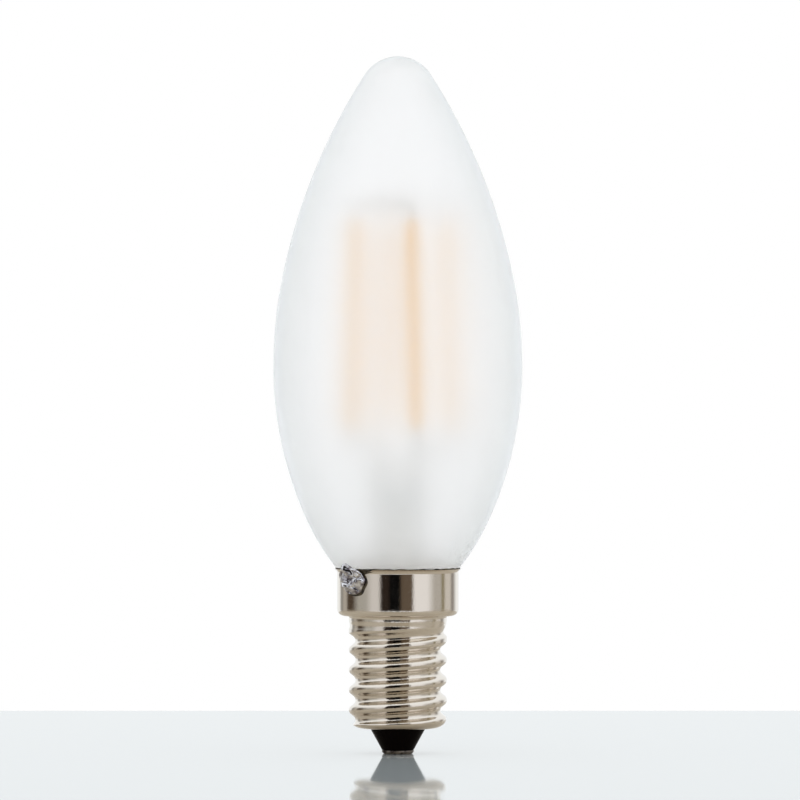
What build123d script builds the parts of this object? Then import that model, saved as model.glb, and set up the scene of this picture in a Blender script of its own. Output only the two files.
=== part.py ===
from build123d import *

import math
import os

# A frosted candle bulb: LED filaments in a blown glass envelope, cemented into a small screw cap.
# +Z runs up the axis, and the origin is the middle of the centre contact's lower face.
# The front faces -Y, with the side solder to the left of it. All sizes are in millimetres.

# Glass envelope
bulb_length = 98.0  # from the contact's face to the tip of the glass
bulb_diameter = 35.0
widest_height = 54.4
tip_radius = 5.5
belly_rise = 12.2  # from the widest height up to where the rounder belly meets the flank
belly_share = 0.875  # the belly's radius against that of a single arc from there to the tip
shoulder_rise = 7.0  # from the rim up to where the lower arc meets the tighter shoulder
lower_share = 1.04  # the lower arc's radius against that of a single arc down to the rim
glass_wall = 1.1
neck_blend_radius = 2.0

# Cap shell, drawn and rolled from one piece of sheet
cap_height = 26.0  # from the contact's face to the rim
cap_wall = 0.3
collar_diameter = 17.1
collar_height = 6.6
collar_corner_radius = 0.9
rim_flare = 0.5
rim_flare_height = 0.8
rim_gap = 0.13  # between the rim and the glass
throat_height = 1.2  # plain band between the collar and the thread
throat_step = 0.1  # how far the throat stands out past the thread
throat_corner_radius = 0.35
thread_diameter = 13.8
thread_depth = 1.0
thread_pitch = 2.822
thread_root_flat = 0.03  # how far the wall between the turns lies above the root arc's lowest line
thread_root_bite = 0.12  # how far the ridge reaches into the wall it is rolled from
thread_lead_in = 1.7  # how far below the foot the ridge would start, on the right
foot_height = 3.6  # the shell's lower face above the contact's face
foot_round_height = 1.5
lip_width = 1.0
lip_hole_diameter = 7.9

# Rim notches: a deep one for the wire, and a wide one beside the solder
wire_slot_width = 0.9
wire_slot_depth = 2.5
side_notch_width = 2.6
side_notch_depth = 0.7
side_notch_angle = 239.0

# Insulator and centre contact
insulator_foot_diameter = 4.9
insulator_flange_height = 2.3
insulator_flange_gap = 0.2
insulator_wire_hole_diameter = 1.2
contact_diameter = 4.5
contact_thickness = 0.5
contact_edge_radius = 0.42
contact_shank_diameter = 2.2
contact_shank_length = 2.0
contact_bore_diameter = 1.3
contact_solder_height = 1.2
contact_wire_depth = 0.5  # from the contact's face to the wire's end

# Cement and glass stem
cement_gap = 0.65  # between the glass neck and the collar
wire_passage = 0.9  # between the collar's floor and the stem's flare
flare_wall = 0.8
flare_height = 8.0
flare_edge_gap = 0.4
stem_diameter = 7.8
stem_wall = 1.0
stem_height = 20.5  # from the seal to the top of the pinch
pinch_width = 9.4
pinch_thickness = 3.4
pinch_height = 5.0
pinch_blend_height = 2.5
pinch_corner_radius = 1.2
exhaust_diameter = 3.0
exhaust_wall = 0.6
exhaust_tail = 3.4
exhaust_hole_diameter = 1.1

# Filament cage
filament_length = 29.0
filament_width = 2.0
filament_thickness = 1.6
filament_corner_radius = 0.6
filament_rise = 3.8  # from the top of the pinch to the filaments' lower ends
cage_top_half_width = 4.4
cage_bottom_half_width = 5.1
cage_half_depth = 4.8
cage_offset = 0.4  # the cage stands a little off the axis, to the right
cage_turn = -29.0
tab_length = 1.4
tab_width = 0.9
tab_thickness = 0.35
cage_wire_diameter = 0.6
cage_wire_reach = 1.0
cage_bend_radius = 0.8

# Wires
lead_wire_diameter = 0.5
lead_wire_spacing = 4.4
lead_wire_clear = 0.9
lead_bend_radius = 0.5
shell_wire_diameter = 0.4
shell_wire_bend_radius = 0.3
side_solder_angle = 221.0

# Side solder, a drop that wets the collar
solder_width = 4.0
solder_thickness = 1.0
solder_below_rim = 1.3
solder_tail_width = 2.6
solder_tail_drop = 1.4

# Driver
board_offset = 1.6  # from the axis to the board's front face
board_thickness = 0.8
board_edge_gap = 0.5
board_top_gap = 1.2
part_seat_gap = 0.1
capacitor_diameter = 4.6
capacitor_length = 7.0
capacitor_side = -1.7
capacitor_edge_radius = 0.4
capacitor_lead_spacing = 2.0
capacitor_lead_drop = 0.8
capacitor_wire_gap = 0.3
resistor_diameter = 2.2
resistor_length = 5.6
resistor_side = 2.7
resistor_lead_rise = 0.8
contact_wire_level = 0.8  # above the insulator
driver_lead_diameter = 0.5
rectifier_width = 4.7
rectifier_height = 3.9
rectifier_thickness = 1.6
chip_width = 4.4
chip_height = 2.6
chip_thickness = 1.4
chip_resistor_width = 1.25
chip_resistor_height = 2.0
chip_resistor_thickness = 0.55
chip_resistor_gap = 0.3
back_part_edge = 0.7  # from the board's edges to the parts on its back
joint_radius = 0.7

# Radii and heights that follow from these
bulb_radius = bulb_diameter / 2
collar_radius = collar_diameter / 2
collar_bore = collar_radius - cap_wall
rim_bore = collar_bore + rim_flare
neck_radius = collar_bore - cement_gap
neck_bore = neck_radius - glass_wall
thread_radius = thread_diameter / 2
thread_root = thread_radius - thread_depth
thread_round = (thread_pitch**2 / 4 + thread_depth**2) / (4 * thread_depth)
shell_bore = thread_root - cap_wall
lip_hole = lip_hole_diameter / 2
lip_flat = lip_hole + lip_width
collar_floor = cap_height - collar_height + cap_wall
insulator_top = foot_height + cap_wall + insulator_flange_height
flare_base = collar_floor + wire_passage
seal_height = flare_base + flare_wall
pinch_top = seal_height + stem_height
filament_base = pinch_top + filament_rise
filament_top = filament_base + filament_length
exhaust_tip = seal_height - exhaust_tail
board_top = exhaust_tip - board_top_gap
board_back = board_offset + board_thickness
board_half_width = math.sqrt((shell_bore - board_edge_gap) ** 2 - board_back**2)

# The glass arcs: belly and flank run up to the round tip, lower arc and shoulder down to the rim
tip_centre = Vector(0, bulb_length - tip_radius)
tip_rise = bulb_length - widest_height
belly_radius = belly_share * (bulb_radius**2 + tip_rise**2 - 2 * tip_rise * tip_radius)
belly_radius /= 2 * (bulb_radius - tip_radius)
belly_slope = math.asin(belly_rise / belly_radius)
belly_outward = Vector(math.cos(belly_slope), math.sin(belly_slope))
belly_end = Vector(bulb_radius - belly_radius, widest_height) + belly_outward * belly_radius
tip_reach = belly_end - tip_centre
flank_radius = (tip_reach.length**2 - tip_radius**2) / (
    2 * (tip_reach.dot(belly_outward) - tip_radius)
)
tip_outward = (tip_centre - (belly_end - belly_outward * flank_radius)).normalized()
glass_at_rim = rim_bore - rim_gap
lower_drop = widest_height - cap_height
lower_radius = lower_share * ((bulb_radius - glass_at_rim) ** 2 + lower_drop**2)
lower_radius /= 2 * (bulb_radius - glass_at_rim)
shoulder_slope = math.asin((lower_drop - shoulder_rise) / lower_radius)
shoulder_outward = Vector(math.cos(shoulder_slope), -math.sin(shoulder_slope))
shoulder_start = Vector(bulb_radius - lower_radius, widest_height) + shoulder_outward * lower_radius
rim_reach = Vector(glass_at_rim, cap_height) - shoulder_start
shoulder_radius = -(rim_reach.length**2) / (2 * rim_reach.dot(shoulder_outward))
shoulder_centre = shoulder_start - shoulder_outward * shoulder_radius


def turned(outline):
    """Turn a closed outline, drawn as radius and height, about the bulb's axis."""
    return revolve(Plane.XZ * make_face(outline), Axis.Z)


def rounded_corner(face, radius, height, fillet_radius):
    """Round the corner of a flat outline that lies at this radius and height."""
    vertex = face.vertices().sort_by_distance((radius, height, 0))[0]
    return fillet(vertex, fillet_radius)


def rod(start, end, diameter):
    """A straight round bar between two points."""
    direction = Vector(*end) - Vector(*start)
    return extrude(Plane(start, z_dir=direction) * Circle(diameter / 2), direction.length)


def bent_wire(points, diameter, bend_radius):
    """A round wire along straight runs with rounded bends."""
    path = FilletPolyline(*points, radius=bend_radius)
    return sweep(Plane(origin=path @ 0, z_dir=path % 0) * Circle(diameter / 2), path=path)


def around(radius, angle, height):
    """A point at a radius and an angle from +X, at a height."""
    return (
        radius * math.cos(math.radians(angle)),
        radius * math.sin(math.radians(angle)),
        height,
    )


# Glass envelope: a closed shell of revolution, round at the tip and open at the neck
def shoulder_height(radius, inset):
    """Height at which the shoulder, drawn this far inside the glass, has this radius."""
    arc = shoulder_radius - inset
    return shoulder_centre.Y - math.sqrt(arc**2 - (radius - shoulder_centre.X) ** 2)


def envelope_fill(inset):
    """The envelope filled to its axis, with its surface drawn in by inset."""
    top = (0, bulb_length - inset)
    meeting = tip_centre + tip_outward * (tip_radius - inset)
    belly_top = belly_end - belly_outward * inset
    widest = (bulb_radius - inset, widest_height)
    shoulder_top = shoulder_start - shoulder_outward * inset
    neck = neck_radius - inset
    corner_height = shoulder_height(neck, inset)
    corner = (neck, corner_height)
    outline = (
        TangentArc(top, meeting, tangent=(1, 0))
        + TangentArc(belly_top, meeting, tangent=(-belly_outward.Y, belly_outward.X))
        + TangentArc(widest, belly_top, tangent=(0, 1))
        + TangentArc(widest, shoulder_top, tangent=(0, -1))
        + TangentArc(shoulder_top, corner, tangent=(shoulder_outward.Y, -shoulder_outward.X))
        + Polyline(corner, (neck, seal_height), (0, seal_height), top)
    )
    face = rounded_corner(make_face(outline), neck, corner_height, neck_blend_radius + inset)
    return revolve(Plane.XZ * face, Axis.Z)


envelope_outside = envelope_fill(0)
glass_envelope = envelope_outside - envelope_fill(glass_wall)


# Cap shell: the outside and the inside are made filled, and the one is taken from the other
def thread_ridge(inset):
    """The rolled ridge, with equal arcs at crest and root, along a right-hand helix."""
    flank_angle = math.atan2(thread_pitch / 2, 2 * thread_round - thread_depth)
    across, along = math.cos(flank_angle), math.sin(flank_angle)
    crest_arc = thread_round - inset
    touch = (crest_arc * across - thread_round, crest_arc * along)
    touch_below = (touch[0], -touch[1])
    root_arc = thread_round + inset
    foot_rise = thread_root_flat / 2
    foot_in = foot_rise - inset - thread_depth
    foot_out = thread_pitch / 2 - math.sqrt(root_arc**2 - (root_arc - foot_rise) ** 2)
    bite = foot_in - thread_root_bite
    start = foot_height - thread_lead_in
    path = Helix(thread_pitch, collar_floor - start, thread_radius, center=(0, 0, start))
    section = make_face(
        ThreePointArc(touch_below, (-inset, 0), touch)
        + TangentArc(touch, (foot_in, foot_out), tangent=(-along, across))
        + Polyline((foot_in, foot_out), (bite, foot_out), (bite, -foot_out), (foot_in, -foot_out))
        + TangentArc(touch_below, (foot_in, -foot_out), tangent=(-along, -across))
    )
    place = Plane(origin=path @ 0, x_dir=(1, 0, 0), z_dir=path % 0)
    return sweep(place * section, path=path, is_frenet=True)


def threaded_stub(inset):
    """The threaded length, rounded in at the foot and ending inside the throat."""
    root = thread_root + thread_root_flat - inset
    base = foot_height - thread_pitch
    stub = Pos(0, 0, base) * extrude(Circle(root), collar_floor + thread_pitch - base)
    stub += thread_ridge(inset)
    lowest = foot_height + inset
    widest = thread_radius + throat_step / 2 - inset
    end = collar_floor - cap_wall - throat_height / 2
    limit = Polyline(
        (widest, lowest + foot_round_height), (widest, end), (0, end), (0, lowest), (lip_flat, lowest)
    ) + TangentArc((lip_flat, lowest), (widest, lowest + foot_round_height), tangent=(1, 0))
    return stub & turned(limit)


def collar_fill(inset):
    """The collar and the throat under it, filled to the axis, with a cone down to the thread."""
    floor = collar_floor - cap_wall + inset
    side = collar_radius - inset
    throat = thread_radius + throat_step - inset
    root = thread_root - inset
    throat_end = floor - throat_height
    cone_end = throat_end - (throat - root)
    flare_start = (side, cap_height - rim_flare_height)
    rim = (side + rim_flare, cap_height)
    outline = (
        Polyline(
            (0, cone_end),
            (root, cone_end),
            (throat, throat_end),
            (throat, floor),
            (side, floor),
            flare_start,
        )
        + TangentArc(flare_start, rim, tangent=(0, 1))
        + Polyline(rim, (0, cap_height), (0, cone_end))
    )
    step = side - throat
    inside_corner = min(throat_corner_radius + inset, step / 4)
    outside_corner = min(collar_corner_radius - inset, step / 2)
    face = rounded_corner(make_face(outline), side, floor, outside_corner)
    face = rounded_corner(face, throat, floor, inside_corner)
    return revolve(Plane.XZ * face, Axis.Z)


def rim_notch(angle, width, depth):
    """A square cut in the rim, open at the top."""
    reach = collar_radius + rim_flare
    block = Box(reach, width, depth * 2, align=(Align.MIN, Align.CENTER, Align.CENTER))
    return Rot(0, 0, angle) * Pos(collar_bore - cement_gap, 0, cap_height) * block


collar_outside = collar_fill(0)
cap_shell = (threaded_stub(0) + collar_outside) - (threaded_stub(cap_wall) + collar_fill(cap_wall))
cap_shell -= Pos(0, 0, foot_height) * extrude(Circle(lip_hole), cap_wall)
cap_shell -= rim_notch(side_solder_angle, wire_slot_width, wire_slot_depth)
cap_shell -= rim_notch(side_notch_angle, side_notch_width, side_notch_depth)

# Insulator: a black glass spool that grips the shell's lip and carries the contact
shank = contact_shank_diameter / 2
shank_top = contact_thickness + contact_shank_length
wire_hole = insulator_wire_hole_diameter / 2
lip_top = foot_height + cap_wall
flange = shell_bore - insulator_flange_gap
flange_bevel = max(flange - lip_flat, 0)
cap_insulator = turned(
    Polyline(
        (shank, contact_thickness),
        (insulator_foot_diameter / 2, contact_thickness),
        (lip_hole, foot_height),
        (lip_hole, lip_top),
        (min(lip_flat, flange), lip_top),
        (flange, lip_top + flange_bevel),
        (flange, insulator_top),
        (wire_hole, insulator_top),
        (wire_hole, shank_top),
        (shank, shank_top),
        (shank, contact_thickness),
    )
)

# Centre contact: an eyelet with a low rounded head, closed by solder around the wire's end
contact_bore = contact_bore_diameter / 2
contact_outline = make_face(
    Polyline(
        (contact_bore, 0),
        (contact_diameter / 2, 0),
        (contact_diameter / 2, contact_thickness),
        (shank, contact_thickness),
        (shank, shank_top),
        (contact_bore, shank_top),
        (contact_bore, 0),
    )
)
contact_outline = rounded_corner(contact_outline, contact_diameter / 2, 0, contact_edge_radius)
centre_contact = revolve(Plane.XZ * contact_outline, Axis.Z)

# Driver: a small upright board behind the axis, with parts on both of its faces
board_height = board_top - insulator_top
driver_board = Pos(0, board_offset, insulator_top) * Box(
    2 * board_half_width,
    board_thickness,
    board_height,
    align=(Align.CENTER, Align.MIN, Align.MIN),
)

# Fuse resistor: a standing ceramic body, wired below to the contact and above to the board
resistor_depth = board_offset - part_seat_gap - resistor_diameter / 2
wire_level = insulator_top + contact_wire_level
resistor_base = wire_level + driver_lead_diameter + lead_bend_radius
resistor_top = resistor_base + resistor_length
fuse_resistor = rod(
    (resistor_side, resistor_depth, resistor_base),
    (resistor_side, resistor_depth, resistor_top),
    resistor_diameter,
)
contact_wire = bent_wire(
    [
        (resistor_side, resistor_depth, resistor_base),
        (resistor_side, resistor_depth, wire_level),
        (0, 0, wire_level),
        (0, 0, contact_wire_depth),
    ],
    driver_lead_diameter,
    lead_bend_radius,
)
resistor_lead_level = resistor_top + resistor_lead_rise
resistor_lead = bent_wire(
    [
        (resistor_side, resistor_depth, resistor_top),
        (resistor_side, resistor_depth, resistor_lead_level),
        (resistor_side, board_offset, resistor_lead_level),
    ],
    driver_lead_diameter,
    lead_bend_radius,
)
contact_solder = extrude(Circle(contact_bore), contact_solder_height) - contact_wire

# Smoothing capacitor: a can that stands beside the resistor on two bent leads
capacitor_depth = board_offset - part_seat_gap - capacitor_diameter / 2
capacitor_base = wire_level + driver_lead_diameter + capacitor_wire_gap
capacitor_can = rod(
    (capacitor_side, capacitor_depth, capacitor_base),
    (capacitor_side, capacitor_depth, capacitor_base + capacitor_length),
    capacitor_diameter,
)
smoothing_capacitor = fillet(capacitor_can.edges().filter_by(GeomType.CIRCLE), capacitor_edge_radius)
capacitor_lead_level = capacitor_base - capacitor_lead_drop
capacitor_lead_sides = [
    capacitor_side - capacitor_lead_spacing / 2,
    capacitor_side + capacitor_lead_spacing / 2,
]
capacitor_leads = [
    bent_wire(
        [
            (side, capacitor_depth, capacitor_base),
            (side, capacitor_depth, capacitor_lead_level),
            (side, board_offset, capacitor_lead_level),
        ],
        driver_lead_diameter,
        driver_lead_diameter,
    )
    for side in capacitor_lead_sides
]


# Moulded parts on the back of the board: rectifier above, driver chip below between two resistors
def back_part(side, base, width, height, thickness):
    """A moulded block that lies flat on the back of the board."""
    block = Box(width, thickness, height, align=(Align.CENTER, Align.MIN, Align.MIN))
    return Pos(side, board_back, base) * block


chip_base = insulator_top + back_part_edge
rectifier_base = board_top - back_part_edge - rectifier_height
bridge_rectifier = back_part(
    0, rectifier_base, rectifier_width, rectifier_height, rectifier_thickness
)
driver_chip = back_part(0, chip_base, chip_width, chip_height, chip_thickness)
chip_resistor_side = chip_width / 2 + chip_resistor_gap + chip_resistor_width / 2
chip_resistors = [
    back_part(side, chip_base, chip_resistor_width, chip_resistor_height, chip_resistor_thickness)
    for side in (-chip_resistor_side, chip_resistor_side)
]

# Filament cage: placed as one, a little off the axis and turned
cage_place = Pos(cage_offset, 0, 0) * Rot(0, 0, cage_turn)


def cage_point(side, end, along=0.0):
    """A point on a filament's line in the cage, past its upper or lower end by along."""
    x_sign, y_sign = side
    top = Vector(x_sign * cage_top_half_width, y_sign * cage_half_depth, filament_top)
    bottom = Vector(x_sign * cage_bottom_half_width, y_sign * cage_half_depth, filament_base)
    upward = (top - bottom).normalized()
    return top + upward * along if end == "top" else bottom - upward * along


corners = {
    "front_left": (-1, -1),
    "front_right": (1, -1),
    "rear_left": (-1, 1),
    "rear_right": (1, 1),
}
filaments = {}
tabs = {}
for name, side in corners.items():
    bottom = cage_point(side, "bottom")
    top = cage_point(side, "top")
    axis = top - bottom
    section = RectangleRounded(filament_width, filament_thickness, filament_corner_radius)
    body = extrude(Plane(bottom, x_dir=(0, 1, 0), z_dir=axis) * section, axis.length)
    filaments["filament_" + name] = cage_place * body
    for end, foot, outward in (("bottom", bottom, -axis), ("top", top, axis)):
        strip = Plane(foot, x_dir=(0, 1, 0), z_dir=outward) * Rectangle(tab_width, tab_thickness)
        tabs["tab_" + name + "_" + end] = cage_place * extrude(strip, tab_length)


def cage_wire(first, second, end):
    """A wire bent square that joins two tabs of the cage."""
    reach = tab_length + cage_wire_reach
    points = [
        cage_point(first, end, tab_length),
        cage_point(first, end, reach),
        cage_point(second, end, reach),
        cage_point(second, end, tab_length),
    ]
    return cage_place * bent_wire(points, cage_wire_diameter, cage_bend_radius)


top_bridge_front = cage_wire(corners["front_left"], corners["front_right"], "top")
top_bridge_rear = cage_wire(corners["rear_left"], corners["rear_right"], "top")
crossbar_left = cage_wire(corners["front_left"], corners["rear_left"], "bottom")
crossbar_right = cage_wire(corners["front_right"], corners["rear_right"], "bottom")


# Lead-in wires: from the board, up through the stem's pinch, to the middle of each crossbar
def lead_wire(x_sign, crossbar):
    """A wire from the board's face to the crossbar on its side, ending on the bar."""
    pad_side = x_sign * (board_half_width - joint_radius)
    pad_depth = board_offset - lead_wire_diameter / 2
    rise_side = x_sign * lead_wire_spacing / 2
    front = cage_point((x_sign, -1), "bottom", tab_length + cage_wire_reach)
    rear = cage_point((x_sign, 1), "bottom", tab_length + cage_wire_reach)
    bar_middle = (cage_place * Pos((front + rear) / 2)).position
    wire = bent_wire(
        [
            (pad_side, pad_depth, board_top - 3 * joint_radius),
            (pad_side, pad_depth, board_top),
            (rise_side, 0, flare_base),
            (rise_side, 0, pinch_top + lead_wire_clear),
            (bar_middle.X, bar_middle.Y, bar_middle.Z),
        ],
        lead_wire_diameter,
        lead_bend_radius,
    )
    return wire - crossbar


lead_wire_left = lead_wire(-1, crossbar_left)
lead_wire_right = lead_wire(1, crossbar_right)

# Glass stem: a flared tube fused under the neck, pressed flat around the wires at its top
stem_radius = stem_diameter / 2
pinch_base = pinch_top - pinch_height
blend_base = pinch_base - pinch_blend_height
flare_top = seal_height + flare_height
flare_edge = neck_bore - flare_edge_gap
stem_bore = stem_radius - stem_wall
stem_outside = (
    Polyline((0, blend_base), (stem_radius, blend_base), (stem_radius, flare_top))
    + TangentArc((stem_radius, flare_top), (flare_edge, seal_height), tangent=(0, -1))
    + Polyline(
        (flare_edge, seal_height),
        (neck_radius, seal_height),
        (neck_radius, flare_base),
        (0, flare_base),
        (0, blend_base),
    )
)
stem_inside = (
    Polyline((0, blend_base), (stem_bore, blend_base), (stem_bore, flare_top))
    + TangentArc((stem_bore, flare_top), (flare_edge - flare_wall, flare_base), tangent=(0, -1))
    + Polyline((flare_edge - flare_wall, flare_base), (0, flare_base), (0, blend_base))
)
pinch_section = RectangleRounded(pinch_width, pinch_thickness, pinch_corner_radius)
pinch = Pos(0, 0, pinch_base) * extrude(pinch_section, pinch_height)
pinch_blend = loft([Pos(0, 0, blend_base) * Circle(stem_radius), Pos(0, 0, pinch_base) * pinch_section])
exhaust_bore = exhaust_diameter / 2 - exhaust_wall
hole_height = pinch_base - exhaust_hole_diameter
exhaust_hole = rod((0, 0, hole_height), (0, stem_diameter, hole_height), exhaust_hole_diameter)
glass_stem = turned(stem_outside) - turned(stem_inside)
glass_stem += pinch_blend + pinch
glass_stem += rod((0, 0, exhaust_tip), (0, 0, blend_base), exhaust_diameter)
glass_stem -= rod((0, 0, exhaust_tip + exhaust_wall), (0, 0, pinch_base), 2 * exhaust_bore)
glass_stem -= exhaust_hole
glass_stem -= lead_wire_left
glass_stem -= lead_wire_right

# Shell wire: from the board's back, under the stem's flare, up the cement and out by the slot
wire_ring = neck_radius + cement_gap / 2
neck_corner = shoulder_height(neck_radius, 0)
cement_top = neck_corner - neck_blend_radius / 2
passage_level = collar_floor + wire_passage / 2
shell_wire_side = joint_radius - board_half_width
shell_wire_depth = board_back + shell_wire_diameter / 2
solder_height = cap_height - solder_below_rim
shell_wire = bent_wire(
    [
        (shell_wire_side, shell_wire_depth, board_top - 4 * joint_radius),
        (shell_wire_side, shell_wire_depth, board_top + joint_radius),
        around(shell_bore - joint_radius, side_solder_angle - 4, board_top + 2 * joint_radius),
        around(shell_bore, side_solder_angle, passage_level),
        around(wire_ring, side_solder_angle, passage_level),
        around(wire_ring, side_solder_angle, cement_top),
        around(collar_radius + solder_thickness / 2, side_solder_angle, solder_height),
    ],
    shell_wire_diameter,
    shell_wire_bend_radius,
)

# Capping cement: a ring that holds the glass neck in the collar
capping_cement = Pos(0, 0, flare_base) * extrude(
    Circle(collar_bore) - Circle(neck_radius), cement_top - flare_base
)
capping_cement -= shell_wire


# Side solder: two merged drops on the collar, cut to the metal, the glass and the wire
def solder_drop(width, thickness, height, angle):
    """A ball sunk into the collar until a drop of this width and thickness stands out."""
    half = width / 2
    ball = (half**2 + thickness**2) / (2 * thickness)
    return Pos(*around(collar_radius + thickness - ball, angle, height)) * Sphere(ball)


side_solder = solder_drop(solder_width, solder_thickness, solder_height, side_solder_angle)
side_solder += solder_drop(
    solder_tail_width, solder_thickness / 2, solder_height - solder_tail_drop, side_solder_angle + 6
)
side_solder -= collar_outside
side_solder -= envelope_outside
side_solder -= shell_wire


# Board solder: one joint for each wire that ends on the board
def front_joint(side, height, wire):
    """A half-round joint on the board's front face, around the end of a wire."""
    ball = Pos(side, board_offset, height) * Sphere(joint_radius)
    return (ball & (Pos(side, board_offset, height) * front_half)) - wire


half_size = 2 * joint_radius
front_half = Box(half_size, half_size, half_size, align=(Align.CENTER, Align.MAX, Align.CENTER))
back_half = Box(half_size, half_size, half_size, align=(Align.CENTER, Align.MIN, Align.CENTER))
lead_joint_side = board_half_width - joint_radius
lead_joint_height = board_top - 2 * joint_radius
back_ball = Pos(shell_wire_side, board_back, board_top - 3 * joint_radius)
board_solder = [
    front_joint(-lead_joint_side, lead_joint_height, lead_wire_left),
    front_joint(lead_joint_side, lead_joint_height, lead_wire_right),
    front_joint(resistor_side, resistor_lead_level, resistor_lead),
    front_joint(capacitor_lead_sides[0], capacitor_lead_level, capacitor_leads[0]),
    front_joint(capacitor_lead_sides[1], capacitor_lead_level, capacitor_leads[1]),
    ((back_ball * Sphere(joint_radius)) & (back_ball * back_half)) - shell_wire,
]

pieces = {
    "cap_shell": cap_shell,
    "cap_insulator": cap_insulator,
    "centre_contact": centre_contact,
    "contact_solder": contact_solder,
    "side_solder": side_solder,
    "capping_cement": capping_cement,
    "glass_envelope": glass_envelope,
    "glass_stem": glass_stem,
    "lead_wire_left": lead_wire_left,
    "lead_wire_right": lead_wire_right,
    "crossbar_left": crossbar_left,
    "crossbar_right": crossbar_right,
    "top_bridge_front": top_bridge_front,
    "top_bridge_rear": top_bridge_rear,
    "driver_board": driver_board,
    "bridge_rectifier": bridge_rectifier,
    "driver_chip": driver_chip,
    "chip_resistors": Compound(children=chip_resistors),
    "smoothing_capacitor": smoothing_capacitor,
    "capacitor_leads": Compound(children=capacitor_leads),
    "fuse_resistor": fuse_resistor,
    "resistor_lead": resistor_lead,
    "contact_wire": contact_wire,
    "shell_wire": shell_wire,
    "board_solder": Compound(children=board_solder),
}
pieces.update(filaments)
pieces.update(tabs)

os.makedirs("parts", exist_ok=True)
for name, piece in pieces.items():
    export_step(piece, "parts/" + name + ".step")
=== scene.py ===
import math

import bmesh
import bpy
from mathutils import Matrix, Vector, noise


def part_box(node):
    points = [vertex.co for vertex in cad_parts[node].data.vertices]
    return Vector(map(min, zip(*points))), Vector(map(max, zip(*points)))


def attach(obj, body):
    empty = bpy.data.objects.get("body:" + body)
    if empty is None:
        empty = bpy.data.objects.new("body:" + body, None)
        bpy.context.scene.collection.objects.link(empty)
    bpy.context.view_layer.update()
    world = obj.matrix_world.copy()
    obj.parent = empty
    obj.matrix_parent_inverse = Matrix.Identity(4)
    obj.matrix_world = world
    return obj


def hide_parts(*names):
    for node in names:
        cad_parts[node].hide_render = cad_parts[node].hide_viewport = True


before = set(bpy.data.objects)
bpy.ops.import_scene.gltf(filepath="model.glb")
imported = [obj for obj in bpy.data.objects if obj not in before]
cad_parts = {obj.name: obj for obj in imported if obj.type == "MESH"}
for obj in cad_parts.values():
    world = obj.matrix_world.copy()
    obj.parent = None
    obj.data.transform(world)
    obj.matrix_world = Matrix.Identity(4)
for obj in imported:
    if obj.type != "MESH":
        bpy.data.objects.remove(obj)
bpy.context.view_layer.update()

# Glass envelope: soda glass blown in a mould to the shape of a candle flame, with a round tip.
# It is satin outside and has a fine white frost coat inside. Edge-on its colour is painted darker
# and cooler, the glass's own tint deepened into painted shade along the outline. The neck sits in
# the cap's collar, with its open end fused to the flare of the stem.
mm = 0.001
glass_low, glass_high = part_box("glass_envelope")
shell_low, shell_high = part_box("cap_shell")
rim_height = shell_high.z
seal_height = glass_low.z
tip_height = glass_high.z
glass_radius = glass_high.x
widest_height = 54.4 * mm
tip_radius = 5.5 * mm
belly_rise = 12.2 * mm
belly_share = 0.875
shoulder_rise = 7.0 * mm
lower_share = 1.04
glass_wall = 1.1 * mm
glass_at_rim = 8.62 * mm
neck_radius = 7.6 * mm
neck_blend_radius = 2.0 * mm
glass_columns = 320
tip_rows = 14
flank_rows = 30
belly_rows = 16
lower_rows = 28
shoulder_rows = 16
neck_rows = 6
on_axis = 1e-9
glass_ior = 1.5
clear_white = (1.0, 1.0, 1.0)
frost_white = (0.985, 0.992, 1.0)
edge_tint_and_rim_shade = [
    (0.3, (0.985, 0.988, 0.99)),
    (0.58, (0.97, 1.0, 1.0)),
    (0.72, (0.9, 0.945, 0.965)),
]
noise_low = 0.3
noise_high = 0.7
tint_low = 0.35
tint_high = 0.65


def arc(centre, radius, start, end, steps):
    """Points along an arc of a turning outline, with angles from the radial direction."""
    points = []
    for i in range(steps + 1):
        angle = start + (end - start) * i / steps
        points.append((centre[0] + radius * math.cos(angle), centre[1] + radius * math.sin(angle)))
    return points


tip_centre = Vector((0, tip_height - tip_radius))
tip_rise = tip_height - widest_height
belly_radius = belly_share * (glass_radius**2 + tip_rise**2 - 2 * tip_rise * tip_radius)
belly_radius /= 2 * (glass_radius - tip_radius)
belly_slope = math.asin(belly_rise / belly_radius)
belly_outward = Vector((math.cos(belly_slope), math.sin(belly_slope)))
belly_centre = Vector((glass_radius - belly_radius, widest_height))
tip_reach = belly_centre + belly_outward * belly_radius - tip_centre
flank_radius = tip_reach.length_squared - tip_radius**2
flank_radius /= 2 * (tip_reach.dot(belly_outward) - tip_radius)
flank_centre = belly_centre - belly_outward * (flank_radius - belly_radius)
tip_slope = math.atan2(tip_centre.y - flank_centre.y, tip_centre.x - flank_centre.x)
lower_drop = widest_height - rim_height
lower_radius = lower_share * ((glass_radius - glass_at_rim) ** 2 + lower_drop**2)
lower_radius /= 2 * (glass_radius - glass_at_rim)
lower_centre = Vector((glass_radius - lower_radius, widest_height))
shoulder_slope = math.asin((lower_drop - shoulder_rise) / lower_radius)
shoulder_outward = Vector((math.cos(shoulder_slope), -math.sin(shoulder_slope)))
shoulder_start = lower_centre + shoulder_outward * lower_radius
rim_reach = Vector((glass_at_rim, rim_height)) - shoulder_start
shoulder_radius = -rim_reach.length_squared / (2 * rim_reach.dot(shoulder_outward))
shoulder_centre = shoulder_start - shoulder_outward * shoulder_radius


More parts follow.
